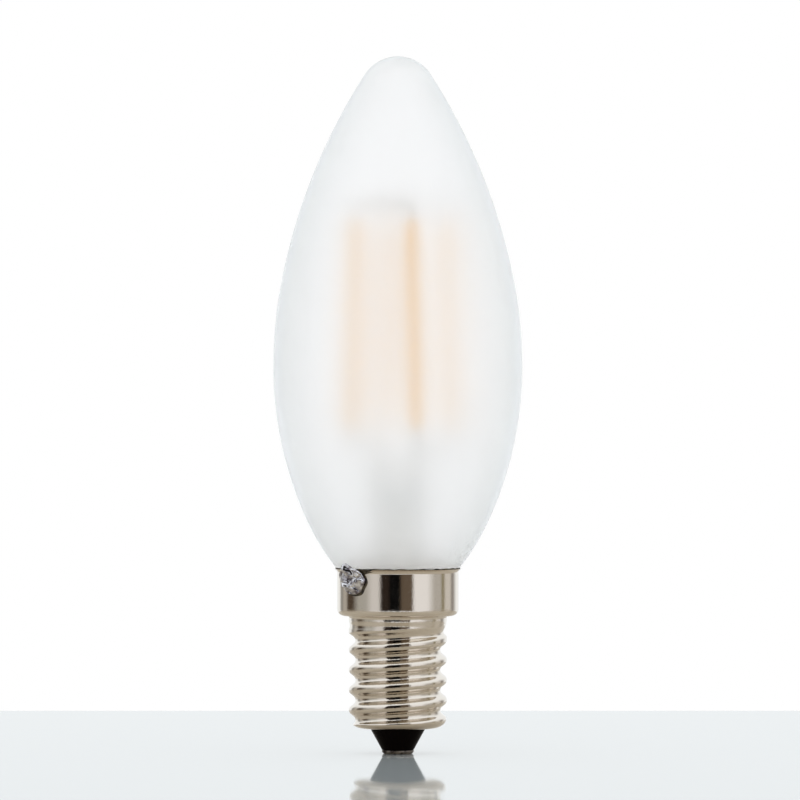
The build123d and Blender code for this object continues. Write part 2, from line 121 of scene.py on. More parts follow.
def glass_outline(inset):
    """From the tip down to the end of the neck, at this depth inside the outer surface."""
    shoulder = shoulder_radius - inset
    blend = neck_blend_radius + inset
    blend_side = neck_radius - inset + blend
    reach = shoulder + blend
    neck_slope = math.acos((blend_side - shoulder_centre.x) / reach)
    blend_centre = (blend_side, shoulder_centre.y - reach * math.sin(neck_slope))
    points = arc(tip_centre, tip_radius - inset, math.pi / 2, tip_slope, tip_rows)
    points += arc(flank_centre, flank_radius - inset, tip_slope, belly_slope, flank_rows)[1:]
    points += arc(belly_centre, belly_radius - inset, belly_slope, 0, belly_rows)[1:]
    points += arc(lower_centre, lower_radius - inset, 0, -shoulder_slope, lower_rows)[1:]
    points += arc(shoulder_centre, shoulder, -shoulder_slope, -neck_slope, shoulder_rows)[1:]
    points += arc(blend_centre, blend, math.pi - neck_slope, math.pi, neck_rows)[1:]
    points[0] = (0.0, tip_height - inset)
    return points + [(neck_radius - inset, seal_height)]


def turned(name, outline, columns, closed=True):
    """A mesh made by turning an outline of radius and height about the bulb's axis."""
    bm = bmesh.new()
    rings = []
    turn = 2 * math.pi / columns
    for radius, height in outline:
        count = columns if radius > on_axis else 1
        ring = [(radius * math.cos(i * turn), radius * math.sin(i * turn)) for i in range(count)]
        rings.append([bm.verts.new((x, y, height)) for x, y in ring])
    bands = list(zip(rings, rings[1:])) + ([(rings[-1], rings[0])] if closed else [])
    for upper, lower in bands:
        for i in range(columns):
            j = (i + 1) % columns
            around = [upper[i % len(upper)], lower[i % len(lower)]]
            around += [lower[j % len(lower)], upper[j % len(upper)]]
            bm.faces.new(list(dict.fromkeys(around)))
    return placed(name, bm)


def placed(name, bm):
    """Turn a finished bmesh into an object with smooth faces that all look outward."""
    mesh = bpy.data.meshes.new(name)
    bmesh.ops.recalc_face_normals(bm, faces=bm.faces)
    bm.to_mesh(mesh)
    bm.free()
    mesh.shade_smooth()
    piece = bpy.data.objects.new(name, mesh)
    bpy.context.scene.collection.objects.link(piece)
    return piece


def principled(name, colour, roughness, metallic=0.0):
    """A material with one Principled shader, and that shader's node."""
    material = bpy.data.materials.new(name)
    material.use_nodes = True
    shader = material.node_tree.nodes["Principled BSDF"]
    shader.inputs["Base Color"].default_value = (*colour, 1.0)
    shader.inputs["Roughness"].default_value = roughness
    shader.inputs["Metallic"].default_value = metallic
    return material, shader


def feed(tree, socket, given):
    """Link another node's output to a socket, or set the socket to a number or colour."""
    if isinstance(given, bpy.types.NodeSocket):
        tree.links.new(given, socket)
    else:
        socket.default_value = given


def mapped(tree, value, low, high, start=0.0, end=1.0, course="LINEAR"):
    """A value's way from low to high, carried over to start and end."""
    node = tree.nodes.new("ShaderNodeMapRange")
    node.interpolation_type = course
    ends = ("Value", "From Min", "From Max", "To Min", "To Max")
    for name, given in zip(ends, (value, low, high, start, end)):
        feed(tree, node.inputs[name], given)
    return node.outputs["Result"]


def ramped(tree, value, stops):
    """A colour that follows a value through these places and colours."""
    node = tree.nodes.new("ShaderNodeValToRGB")
    elements = node.color_ramp.elements
    for element, (place, colour) in zip((elements[1], elements[0]), (stops[-1], stops[0])):
        element.position = place
        element.color = (*colour, 1.0)
    for place, colour in stops[1:-1]:
        elements.new(place).color = (*colour, 1.0)
    tree.links.new(value, node.inputs["Fac"])
    return node.outputs["Color"]


def grain(material, scale, detail=3.0):
    """A noise texture in the piece's own space, with its scale per metre."""
    nodes = material.node_tree.nodes
    place = nodes.new("ShaderNodeTexCoord")
    texture = nodes.new("ShaderNodeTexNoise")
    texture.inputs["Scale"].default_value = scale
    texture.inputs["Detail"].default_value = detail
    material.node_tree.links.new(place.outputs["Object"], texture.inputs["Vector"])
    return texture


def vary(material, texture, socket, low, high):
    """Let a texture move a shader's number between two values."""
    tree = material.node_tree
    tree.links.new(mapped(tree, texture.outputs["Fac"], noise_low, noise_high, low, high), socket)


def tint(material, shader, texture, low, high):
    """Let a texture move the base colour between two colours."""
    tree = material.node_tree
    colour = ramped(tree, texture.outputs["Fac"], [(tint_low, low), (tint_high, high)])
    tree.links.new(colour, shader.inputs["Base Color"])


def bump(material, shader, texture, depth):
    """Let a texture raise the surface by up to this depth in metres."""
    relief = material.node_tree.nodes.new("ShaderNodeBump")
    relief.inputs["Distance"].default_value = depth
    material.node_tree.links.new(texture.outputs["Fac"], relief.inputs["Height"])
    material.node_tree.links.new(relief.outputs["Normal"], shader.inputs["Normal"])


outside = glass_outline(0)
inside = glass_outline(glass_wall)
glass_envelope = turned("frosted_glass_envelope", outside + inside[::-1], glass_columns, False)
clear_face, clear_shader = principled("clear_glass_face", clear_white, roughness=0.33)
clear_shader.inputs["Transmission Weight"].default_value = 1.0
clear_shader.inputs["IOR"].default_value = glass_ior
vary(clear_face, grain(clear_face, 250.0), clear_shader.inputs["Roughness"], low=0.31, high=0.35)
# Painted shade: the outer face's colour turns darker and bluer where it is seen edge-on, a shaded
# rim on top of the glass's own cool tint.
edge_on = clear_face.node_tree.nodes.new("ShaderNodeLayerWeight")
rim_shade_colour = ramped(clear_face.node_tree, edge_on.outputs["Facing"], edge_tint_and_rim_shade)
clear_face.node_tree.links.new(rim_shade_colour, clear_shader.inputs["Base Color"])
frost_face, frost_shader = principled("frosted_glass_face", frost_white, roughness=0.5)
frost_shader.inputs["Transmission Weight"].default_value = 1.0
frost_shader.inputs["IOR"].default_value = glass_ior
vary(frost_face, grain(frost_face, 900.0), frost_shader.inputs["Roughness"], low=0.47, high=0.53)
glass_envelope.data.materials.append(clear_face)
glass_envelope.data.materials.append(frost_face)
for face in glass_envelope.data.polygons:
    face.material_index = 0 if face.index < (len(outside) - 1) * glass_columns else 1
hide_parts("glass_envelope")
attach(glass_envelope, "root")

# Glass stem: a clear glass tube flared at its foot and pressed flat at its top around the lead
# wires, and greyer towards that pressed top. The flare's edge is fused to the neck, and the thin
# exhaust tube is tipped off below.
clear_stem = (0.97, 0.97, 0.965)
greyer_pinch = (0.87, 0.87, 0.86)
grey_start = 28 * mm
grey_end = 41 * mm
stem_ior = 1.2
node_crease = math.radians(35)


def mixed(tree, share, first, second):
    """A colour between two others, by a share that another node gives."""
    node = tree.nodes.new("ShaderNodeMix")
    node.data_type = "RGBA"
    for name, given in zip(("Factor", "A", "B"), (share, first, second)):
        feed(tree, node.inputs[name], given)
    return node.outputs["Result"]


def finish(node, material):
    """Give a CAD node its material, and shade its curved faces smooth."""
    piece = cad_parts[node]
    piece.data.materials.clear()
    piece.data.materials.append(material)
    piece.data.shade_smooth()
    piece.data.set_sharp_from_angle(angle=node_crease)


stem_glass, stem_shader = principled("stem_glass", clear_stem, roughness=0.2)
stem_shader.inputs["Transmission Weight"].default_value = 1.0
stem_shader.inputs["IOR"].default_value = stem_ior
stem_tree = stem_glass.node_tree
stem_place = stem_tree.nodes.new("ShaderNodeTexCoord")
stem_axes = stem_tree.nodes.new("ShaderNodeSeparateXYZ")
stem_tree.links.new(stem_place.outputs["Object"], stem_axes.inputs["Vector"])
# The base colour turns greyer over the upper part of the stem, towards its pressed top.
toward_pinch = mapped(stem_tree, stem_axes.outputs["Z"], grey_start, grey_end)
stem_tint = mixed(stem_tree, toward_pinch, (*clear_stem, 1.0), (*greyer_pinch, 1.0))
stem_tree.links.new(stem_tint, stem_shader.inputs["Base Color"])
bump(stem_glass, stem_shader, grain(stem_glass, 400.0), depth=0.03 * mm)
finish("glass_stem", stem_glass)

# Filaments: slim bars with a row of light-emitting chips under a soft coat of yellow phosphor.
# Four stand upright at the corners of a square cage, each held by a metal strip at either end.
corners = ("front_left", "front_right", "rear_left", "rear_right")
cage_turn = math.radians(-29)
filament_width = 2.0 * mm
filament_thickness = 1.6 * mm
filament_squareness = 3
filament_rows = 112
filament_sides = 28
chip_count = 28
chip_swell = 0.05 * mm
end_round = 0.5 * mm
phosphor_yellow = (1.0, 0.67, 0.37)
phosphor_deep = (1.0, 0.62, 0.3)
phosphor_pale = (1.0, 0.72, 0.44)
phosphor, phosphor_shader = principled("yellow_phosphor", phosphor_yellow, roughness=0.55)
phosphor_grain = grain(phosphor, 1800.0)
tint(phosphor, phosphor_shader, phosphor_grain, phosphor_deep, phosphor_pale)
bump(phosphor, phosphor_shader, phosphor_grain, depth=0.02 * mm)


def joined(bm, rings):
    """Faces from each closed ring of corners to the next."""
    for near, far in zip(rings, rings[1:]):
        for i in range(len(near)):
            j = (i + 1) % len(near)
            bm.faces.new((near[i], near[j], far[j], far[i]))


for corner in corners:
    ends = [vertex.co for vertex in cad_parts["filament_" + corner].data.vertices]
    middle = sum((end.z for end in ends)) / len(ends)
    lower = [end for end in ends if end.z < middle]
    upper = [end for end in ends if end.z >= middle]
    foot = sum(lower, Vector()) / len(lower)
    head = sum(upper, Vector()) / len(upper)
    upward = (head - foot).normalized()
    across = Vector((-math.sin(cage_turn), math.cos(cage_turn), 0))
    across = (across - upward * across.dot(upward)).normalized()
    through = upward.cross(across)
    length = (head - foot).length
    bm = bmesh.new()
    rings = []
    for row in range(filament_rows + 1):
        along = length * row / filament_rows
        near_end = min(along, length - along)
        shrink = 0.0
        if near_end < end_round:
            shrink = end_round - math.sqrt(end_round**2 - (end_round - near_end) ** 2)
        swell = chip_swell * (math.cos(2 * math.pi * chip_count * row / filament_rows) - 1) / 2
        ring = []
        for side in range(filament_sides):
            turn = 2 * math.pi * side / filament_sides
            cos, sin = math.cos(turn), math.sin(turn)
            bulge = abs(cos) ** filament_squareness + abs(sin) ** filament_squareness
            bulge **= -1 / filament_squareness
            wide = (filament_width / 2 - shrink + swell) * bulge * cos
            deep = (filament_thickness / 2 - shrink + swell) * bulge * sin
            ring.append(bm.verts.new(foot + upward * along + across * wide + through * deep))
        rings.append(ring)
    joined(bm, rings)
    bm.faces.new(rings[0])
    bm.faces.new(rings[-1])
    filament = placed("filament_" + corner + "_bar", bm)
    filament.data.materials.append(phosphor)
    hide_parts("filament_" + corner)
    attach(filament, "root")

# Cage wires and strips: bare nickel-iron wire bent square and welded to the filaments' end
# strips. Two bridges close the circuit at the top, and two crossbars gather it below.
cage_wires = ("top_bridge_front", "top_bridge_rear", "crossbar_left", "crossbar_right")
wire_grey = (0.66, 0.65, 0.63)
strip_grey = (0.7, 0.69, 0.66)
wire_metal, wire_shader = principled("bare_wire", wire_grey, roughness=0.35, metallic=1.0)
vary(wire_metal, grain(wire_metal, 1500.0), wire_shader.inputs["Roughness"], low=0.28, high=0.45)
for node in cage_wires + ("lead_wire_left", "lead_wire_right"):
    finish(node, wire_metal)
strip_metal, strip_shader = principled("strip_metal", strip_grey, roughness=0.4, metallic=1.0)
vary(strip_metal, grain(strip_metal, 1800.0), strip_shader.inputs["Roughness"], low=0.32, high=0.5)
for corner in corners:
    finish("tab_" + corner + "_top", strip_metal)
    finish("tab_" + corner + "_bottom", strip_metal)

# Driver: a green board with a rectifier, a driver chip and small resistors on its back, and a
# sleeved capacitor and a fuse resistor in front. It stands hidden inside the threaded shell.
lacquer_green = (0.05, 0.22, 0.1)
mould_black = (0.02, 0.02, 0.022)
sleeve_navy = (0.03, 0.04, 0.09)
resistor_teal = (0.16, 0.3, 0.34)
board_green, board_shader = principled("board_lacquer", lacquer_green, roughness=0.35)
vary(board_green, grain(board_green, 1200.0), board_shader.inputs["Roughness"], low=0.3, high=0.45)
finish("driver_board", board_green)
moulding_black, moulding_shader = principled("moulding_black", mould_black, roughness=0.5)
bump(moulding_black, moulding_shader, grain(moulding_black, 3000.0), depth=0.02 * mm)
for node in ("bridge_rectifier", "driver_chip", "chip_resistors"):
    finish(node, moulding_black)
sleeve, sleeve_shader = principled("capacitor_sleeve", sleeve_navy, roughness=0.25)
vary(sleeve, grain(sleeve, 600.0), sleeve_shader.inputs["Roughness"], low=0.2, high=0.32)
finish("smoothing_capacitor", sleeve)
lacquer, lacquer_shader = principled("resistor_lacquer", resistor_teal, roughness=0.4)
vary(lacquer, grain(lacquer, 900.0), lacquer_shader.inputs["Roughness"], low=0.34, high=0.5)
finish("fuse_resistor", lacquer)
for node in ("capacitor_leads", "resistor_lead", "contact_wire", "shell_wire"):
    finish(node, wire_metal)

# Cap shell: thin sheet brass drawn to a collar, with the screw thread rolled into its lower part
# and a bright nickel plate. The foot turns in to a lip that grips the black insulator.
foot_height = shell_low.z
shell_wall = 0.3 * mm
collar_radius = 8.55 * mm
collar_height = 6.6 * mm
collar_corner = 0.9 * mm
rim_flare = shell_high.x - collar_radius
rim_flare_height = 0.55 * mm
flare_share = 1.2
notch_angle = math.radians(239)
notch_half_width = 1.3 * mm
notch_depth = 0.7 * mm
notch_edge = 0.3 * mm
throat_radius = 6.9 * mm
throat_corner = 0.35 * mm
throat_top = 18.9 * mm
throat_fade = 3.3 * mm
thread_radius = 6.9 * mm
thread_depth = 0.92 * mm
thread_pitch = 2.822 * mm
flank_tilt = math.radians(52)
thread_start = foot_height - 1.7 * mm
ridge_fade_start = 0.15
ridge_fade_end = 0.95
foot_round_height = 1.5 * mm
foot_blend = 0.3 * mm
lip_radius = 4.95 * mm
lip_hole_radius = 3.95 * mm
shell_columns = 240
flare_rows = 8
wall_rows = 16
corner_rows = 8
throat_rows = 6
outer_rows = 200
inner_rows = 80
foot_rows = 24
shell_crease = math.radians(50)
nickel_white = (0.82, 0.77, 0.7)


def smooth_step(low, high, value):
    """0 below low, 1 above high, and a smooth rise between."""
    share = min(max((value - low) / (high - low), 0.0), 1.0)
    return share * share * (3 - 2 * share)


thread_round = thread_pitch / 2 * math.sin(flank_tilt) - thread_depth * math.cos(flank_tilt)
thread_round /= 2 * (1 - math.cos(flank_tilt))


def rolled_ridge(off_crest, inset):
    """Height of the ridge over its root, this far along the axis from a crest."""
    off_root = thread_pitch / 2 - off_crest
    crest, root = thread_round - inset, thread_round + inset
    if off_crest < crest * math.sin(flank_tilt):
        return thread_depth - thread_round + math.sqrt(crest**2 - off_crest**2) + inset
    if off_root < root * math.sin(flank_tilt):
        return root - math.sqrt(root**2 - off_root**2)
    foot = root * (1 - math.cos(flank_tilt))
    return foot + (off_root - root * math.sin(flank_tilt)) * math.tan(flank_tilt)


collar_floor = rim_height - collar_height
thread_root = thread_radius - thread_depth


def notch_share(angle):
    """How deep the notch beside the solder is at this angle, tapering out to the right."""
    past = ((angle - notch_angle + math.pi) % (2 * math.pi) - math.pi) * collar_radius
    taper = min(max((notch_half_width - past) / (2 * notch_half_width), 0.0), 1.0)
    return taper * smooth_step(-notch_half_width - notch_edge, -notch_half_width, past)


def shell_column(angle, inset, rows):
    """Radius and height down one column of the shell, its surface drawn in by inset."""
    side = collar_radius - inset
    floor = collar_floor + inset
    throat = throat_radius - inset
    root = thread_root - inset
    top = rim_height - notch_depth * notch_share(angle)
    points = []
    flare_end = rim_height - flare_share * rim_flare_height
    for i in range(flare_rows + 1):
        height = top + (flare_end - top) * i / flare_rows
        flare = max(height - rim_height + rim_flare_height, 0.0) / rim_flare_height
        points.append((side + rim_flare * flare**2, height))
    corner = collar_corner - inset
    wall_drop = flare_end - floor - corner
    points += [(side, flare_end - wall_drop * i / wall_rows) for i in range(1, wall_rows)]
    points += arc((side - corner, floor + corner), corner, 0, -math.pi / 2, corner_rows)
    inner = throat_corner + inset
    points += arc((throat + inner, floor - inner), inner, math.pi / 2, math.pi, throat_rows)
    start = floor - inner
    foot_top = foot_height + inset + foot_round_height
    heights = [start + (foot_top - start) * i / rows for i in range(1, rows)]
    rolled_in = [math.pi / 2 * i / foot_rows for i in range(foot_rows + 1)]
    heights += [foot_top - foot_round_height * math.sin(turn) for turn in rolled_in]
    for height in heights:
        turns = angle / (2 * math.pi) - (height - thread_start) / thread_pitch
        fade = smooth_step(throat_top - throat_fade, throat_top, height)
        ridge = rolled_ridge(abs(turns - round(turns)) * thread_pitch, inset)
        ridge *= 1 - smooth_step(ridge_fade_start, ridge_fade_end, fade)
        radius = root + (throat - root) * fade + ridge
        foot = max(foot_top - height, 0.0) / foot_round_height
        reach = thread_radius - inset - lip_radius
        limit = lip_radius + reach * math.sqrt(max(1 - foot**2, 0.0))
        overlap = max(foot_blend - abs(limit - radius), 0.0) if foot else 0.0
        points.append((min(radius, limit) - overlap**2 / (4 * foot_blend), height))
    return points + [(lip_hole_radius, foot_height + inset)]


bm = bmesh.new()
columns = []
for i in range(shell_columns):
    angle = 2 * math.pi * i / shell_columns
    cos, sin = math.cos(angle), math.sin(angle)
    loop = shell_column(angle, 0, outer_rows) + shell_column(angle, shell_wall, inner_rows)[::-1]
    columns.append([bm.verts.new((r * cos, r * sin, height)) for r, height in loop])
joined(bm, columns + columns[:1])
cap_shell = placed("nickel_cap_shell", bm)
cap_shell.data.set_sharp_from_angle(angle=shell_crease)
nickel, nickel_shader = principled("bright_nickel", nickel_white, roughness=0.04, metallic=1.0)
vary(nickel, grain(nickel, 500.0), nickel_shader.inputs["Roughness"], low=0.03, high=0.06)
bump(nickel, nickel_shader, grain(nickel, 6000.0, detail=1.0), depth=0.009 * mm)
cap_shell.data.materials.append(nickel)
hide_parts("cap_shell")
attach(cap_shell, "root")

# Side solder: a drop of tin that fixes the shell wire to the collar, left of the front. It set
# with a creased skin and a rolled lower edge, and it wets the rim above.
solder_angle = math.radians(222)
solder_height = rim_height - 1.5 * mm
solder_half_width = 2.45 * mm
solder_half_height = 1.85 * mm
solder_thickness = 0.95 * mm
solder_fillet = 1.6 * mm
solder_sink = 0.04 * mm
solder_slope = 0.4
glass_slope = 0.8
edge_ripple = 0.02
edge_roll = 0.16 * mm
edge_roll_place = 0.93
edge_roll_width = 0.05
knob_along = -0.45
knob_up = 2.1
knob_turn = 1.75
knob_reach = 0.32
knob_spread = 0.21
knob_rise = 0.7
knob_size = 0.2
tail_turn = 5.2
tail_reach = 0.14
tail_spread = 0.5
dent_turn = 4.1
dent_depth = 0.1
dent_spread = 0.4
facets_per_mm = 0.7
facet_tilt = 1.5
facet_variety = 5
facet_sideways = Vector((3, 7, 1))
crease_width = 0.25
crease_depth = 0.9
skin_ripple = 0.05
skin_ripples_per_mm = 3
solder_sides = 96
solder_rings = 40
tin_grey = (0.74, 0.73, 0.75)
tin_dull = (0.16, 0.14, 0.17)
tin_bright = (0.93, 0.95, 1.0)


def collar_surface(height, flare_height):
    """Radius of the collar, or of the glass above its rim, flared over this height."""
    over = height - rim_height
    if over > 0:
        wetted = collar_radius + rim_flare - solder_slope * over
        return max(wetted, glass_at_rim + glass_slope * over)
    return collar_radius + rim_flare * max(over / flare_height + 1, 0.0) ** 2


def on_collar(along, up, lift, flare_height):
    """A point this far along and up from the drop's middle, lifted off the collar."""
    height = solder_height + up
    angle = solder_angle + along / collar_radius
    radius = collar_surface(height, flare_height) + lift
    return Vector((radius * math.cos(angle), radius * math.sin(angle), height))


def swelling(place, middle, spread):
    """1 in the middle of a swelling, fading out on both sides of it."""
    return math.exp(-(((place - middle) / spread) ** 2))


def drop_edge(turn, grow):
    """How far the drop reaches in this direction, along and up, grown by a little."""
    lobes = 1 + edge_ripple * math.sin(3 * turn + 0.6) + edge_ripple * math.sin(7 * turn + 2.0)
    lobes += knob_reach * swelling(turn, knob_turn, knob_spread)
    lobes += tail_reach * swelling(turn, tail_turn, tail_spread)
    lobes -= dent_depth * swelling(turn, dent_turn, dent_spread)
    along = (solder_half_width + grow) * lobes * math.cos(turn)
    up = (solder_half_height + grow) * lobes * math.sin(turn)
    return along, up


def drop_skin(along, up, out):
    """How far the drop's skin stands off the collar here, at this share of the way to its edge."""
    spot = Vector((along, up, 0.0)) / mm
    distances, centres = noise.voronoi(spot * facets_per_mm)
    off_centre = spot * facets_per_mm - centres[0]
    facet = centres[0] * facet_variety
    tilt = (noise.noise(facet), noise.noise(facet + facet_sideways), 0)
    crease = min(distances[1] - distances[0], crease_width) - crease_width
    knob = math.exp(-((spot.x - knob_along) ** 2 + (spot.y - knob_up) ** 2) / knob_size)
    skin = 1 + facet_tilt * off_centre.dot(tilt) + crease_depth * crease
    skin += skin_ripple * noise.noise(spot * skin_ripples_per_mm) + knob_rise * knob
    roll = edge_roll * swelling(out, edge_roll_place, edge_roll_width)
    return solder_thickness * skin * math.sqrt(1 - out**3) + roll - solder_sink


bm = bmesh.new()
rings = []
for ring in range(1, solder_rings + 1):
    out = ring / solder_rings
    loop = []
    for side in range(solder_sides):
        edge = drop_edge(2 * math.pi * side / solder_sides, 0)
        along, up = out * edge[0], out * edge[1]
        loop.append(bm.verts.new(on_collar(along, up, drop_skin(along, up, out), solder_fillet)))
    rings.append(loop)
crown = bm.verts.new(on_collar(0, 0, drop_skin(0, 0, 0), solder_fillet))
for side in range(solder_sides):
    after = (side + 1) % solder_sides
    bm.faces.new((crown, rings[0][side], rings[0][after]))
joined(bm, rings)
bm.faces.new(rings[-1])
side_solder = placed("side_solder_drop", bm)
tin, tin_shader = principled("wrinkled_tin", tin_grey, roughness=0.2, metallic=1.0)
tin_grain = grain(tin, 1200.0)
tint(tin, tin_shader, tin_grain, tin_dull, tin_bright)
vary(tin, tin_grain, tin_shader.inputs["Roughness"], low=0.05, high=0.14)
bump(tin, tin_shader, grain(tin, 2000.0), depth=0.035 * mm)
side_solder.data.materials.append(tin)
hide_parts("side_solder")
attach(side_solder, "root")
finish("contact_solder", tin)
finish("board_solder", tin)

# Flux and shade film: a thin film of near-black brown on the collar around the drop, most of it to
# the right and below. It is partly rosin that boiled out from under the drop as it was soldered,
# and partly painted shade along the drop's lower right edge.
# Painted shade: the film is set off to the right of and below the drop, where the drop shades the
# collar.
flux_spread = 0.06 * mm
flux_along = 0.2 * mm
flux_drop = 0.12 * mm
flux_film = 0.03 * mm
flux_raggedness = 0.9
flux_tongues = 3.0
flux_rings = 10
flux_and_shade_brown = (0.03, 0.022, 0.012)
flux_and_shade_dark = (0.01, 0.007, 0.005)
flux_and_shade_pale = (0.09, 0.07, 0.035)
bm = bmesh.new()
rings = []
for ring in range(1, flux_rings + 1):
    out = ring / flux_rings
    loop = []
    for side in range(solder_sides):
        turn = 2 * math.pi * side / solder_sides
        ragged = noise.noise(Vector((math.cos(turn), math.sin(turn), 0)) * flux_tongues)
        edge = drop_edge(turn, flux_spread * (1 + flux_raggedness * ragged))
        along = out * edge[0] + flux_along
        up = min(out * edge[1] - flux_drop, rim_height - solder_height)
        film = flux_film * (1 - out**4)
        loop.append(bm.verts.new(on_collar(along, up, film, rim_flare_height)))
    rings.append(loop)
joined(bm, rings)
bm.faces.new(rings[0])
flux_and_painted_shade = placed("flux_and_shade_film", bm)
flux, flux_shader = principled("flux_and_painted_shade", flux_and_shade_brown, roughness=0.3)
tint(flux, flux_shader, grain(flux, 1600.0), flux_and_shade_dark, flux_and_shade_pale)
flux_and_painted_shade.data.materials.append(flux)
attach(flux_and_painted_shade, "root")

# Capping cement: a ring of pale grey cement between the glass neck and the collar's wall. It is
# pressed in as a paste and baked hard, and it holds the glass in the cap.
cement_grey = (0.78, 0.75, 0.69)
cement, cement_shader = principled("capping_cement", cement_grey, roughness=0.9)
bump(cement, cement_shader, grain(cement, 1500.0), depth=0.05 * mm)
finish("capping_cement", cement)

# Gap shade ring: a thin uneven ring of near-black brown between the rim and the glass, painted
# shade where the gap between them lies in shadow. It fills the notch beside the solder with the
# same painted shade.
bead_rise = 0.18 * mm
bead_depth = 0.2 * mm
bead_reach = 0.14 * mm
bead_gap = 0.01 * mm
bead_bevel = 0.06 * mm
bead_lean = 0.6
bead_unevenness = 0.6
bead_lumps = 9.0
bead_columns = 480
notch_fill = 0.25 * mm
gap_shade_brown = (0.03, 0.022, 0.015)
gap_shade_dark = (0.012, 0.009, 0.006)
gap_shade_pale = (0.1, 0.08, 0.05)
bm = bmesh.new()
bead_loops = []
for i in range(bead_columns):
    angle = 2 * math.pi * i / bead_columns
    notch = notch_share(angle)
    uneven = noise.noise(Vector((math.cos(angle), math.sin(angle), 0)) * bead_lumps)
    top = rim_height + bead_rise * (1 + bead_unevenness * uneven)
    base = rim_height - bead_depth - notch_depth * notch
    outer = glass_at_rim + bead_reach - notch_fill * notch
    inner = glass_at_rim + bead_gap
    loop = [(inner + bead_lean * (top - rim_height), top), (outer, top - bead_bevel)]
    loop += [(outer, base), (inner - bead_lean * (rim_height - base), base)]
    turn = Vector((math.cos(angle), math.sin(angle)))
    bead_loops.append([bm.verts.new((*(turn * radius), height)) for radius, height in loop])
joined(bm, bead_loops + bead_loops[:1])
gap_ring = placed("painted_gap_shade_ring", bm)
# Painted shade: a near-black brown that stands for the shadowed gap, not the cement's own colour.
gap_paint, gap_paint_shader = principled("dark_gap_paint", gap_shade_brown, roughness=0.8)
tint(gap_paint, gap_paint_shader, grain(gap_paint, 2500.0), gap_shade_dark, gap_shade_pale)
gap_ring.data.materials.append(gap_paint)
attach(gap_ring, "root")

# Insulator: black cap glass poured hot into the shell's foot, so that it locks on both sides of
# the lip. It narrows to a round-edged foot, and the contact's shank is set in its middle.
insulator_low, insulator_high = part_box("cap_insulator")
insulator_foot = 2.45 * mm
insulator_edge = 0.35 * mm
edge_inset = 0.1 * mm
lip_clearance = 0.04 * mm
flange_radius = insulator_high.x
shank_radius = 1.1 * mm
wire_hole_radius = 0.6 * mm
shank_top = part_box("centre_contact")[1].z
lip_top = foot_height + shell_wall
insulator_columns = 128
insulator_edge_rows = 8
insulator_crease = math.radians(40)
insulator_black = (0.003, 0.002, 0.002)
insulator_gloss = 0.03
cone_slope = math.atan2(foot_height - insulator_low.z, lip_hole_radius - insulator_foot)
edge_centre = (insulator_foot - edge_inset - insulator_edge, insulator_low.z + insulator_edge)
edge_end = cone_slope - math.pi / 2
insulator_outline = [(shank_radius, insulator_low.z)]
insulator_outline += arc(edge_centre, insulator_edge, -math.pi / 2, edge_end, insulator_edge_rows)
insulator_outline += [
    (lip_hole_radius - lip_clearance, foot_height),
    (lip_hole_radius - lip_clearance, lip_top),
    (lip_radius, lip_top),
    (flange_radius, lip_top + flange_radius - lip_radius),
    (flange_radius, insulator_high.z),
    (wire_hole_radius, insulator_high.z),
    (wire_hole_radius, shank_top),
    (shank_radius, shank_top),
]
insulator = turned("black_glass_insulator", insulator_outline, insulator_columns)
insulator.data.set_sharp_from_angle(angle=insulator_crease)
black_glass, black_shader = principled("black_cap_glass", insulator_black, roughness=0.3)
black_shader.inputs["Specular IOR Level"].default_value = insulator_gloss
vary(black_glass, grain(black_glass, 900.0), black_shader.inputs["Roughness"], low=0.25, high=0.4)
insulator.data.materials.append(black_glass)
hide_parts("cap_insulator")
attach(insulator, "root")

# Centre contact: a plated brass eyelet set in the insulator, with a low round-edged head. The
# fuse wire comes down its bore and is soldered in, and the plate is dull and stained.
contact_brown = (0.25, 0.22, 0.2)
contact_stain = (0.06, 0.05, 0.05)
contact_bare = (0.4, 0.37, 0.35)
contact_metal, contact_shader = principled("contact_plate", contact_brown, 0.3, metallic=1.0)
contact_grain = grain(contact_metal, 1600.0)
tint(contact_metal, contact_shader, contact_grain, contact_stain, contact_bare)
vary(contact_metal, contact_grain, contact_shader.inputs["Roughness"], low=0.25, high=0.45)
finish("centre_contact", contact_metal)

# Studio floor: a pale glossy table top with a straight far edge, under the contact. It is clear
# from below, so that the bulb's underside can be looked at. The camera and rays through glass see
# it pale; all other rays see it a darker warm brown, painted shade in the cap's reflections of the
# table and in the light it throws back.
floor_back = 106 * mm
floor_front = -92 * mm
floor_side = 300 * mm
floor_gap = 0.01 * mm
table_pale = (0.58, 0.64, 0.66)
table_shade_in_metal = (0.45, 0.4, 0.32)


def worked_out(tree, operation, *values):
    """The result of a Math node on these outputs and numbers."""
    node = tree.nodes.new("ShaderNodeMath")
    node.operation = operation
    for socket, given in zip(node.inputs, values):
        feed(tree, socket, given)
    return node.outputs["Value"]


floor_mesh = bpy.data.meshes.new("studio_floor")
floor_corners = [(-floor_side, floor_front), (floor_side, floor_front)]
floor_corners += [(floor_side, floor_back), (-floor_side, floor_back)]
floor_mesh.from_pydata([(x, y, -floor_gap) for x, y in floor_corners], [], [(0, 1, 2, 3)])
studio_floor = bpy.data.objects.new("studio_floor", floor_mesh)
bpy.context.scene.collection.objects.link(studio_floor)
table_top, table_shader = principled("pale_table_top", table_pale, roughness=0.045)
table_tree = table_top.node_tree
glance = table_tree.nodes.new("ShaderNodeLightPath").outputs
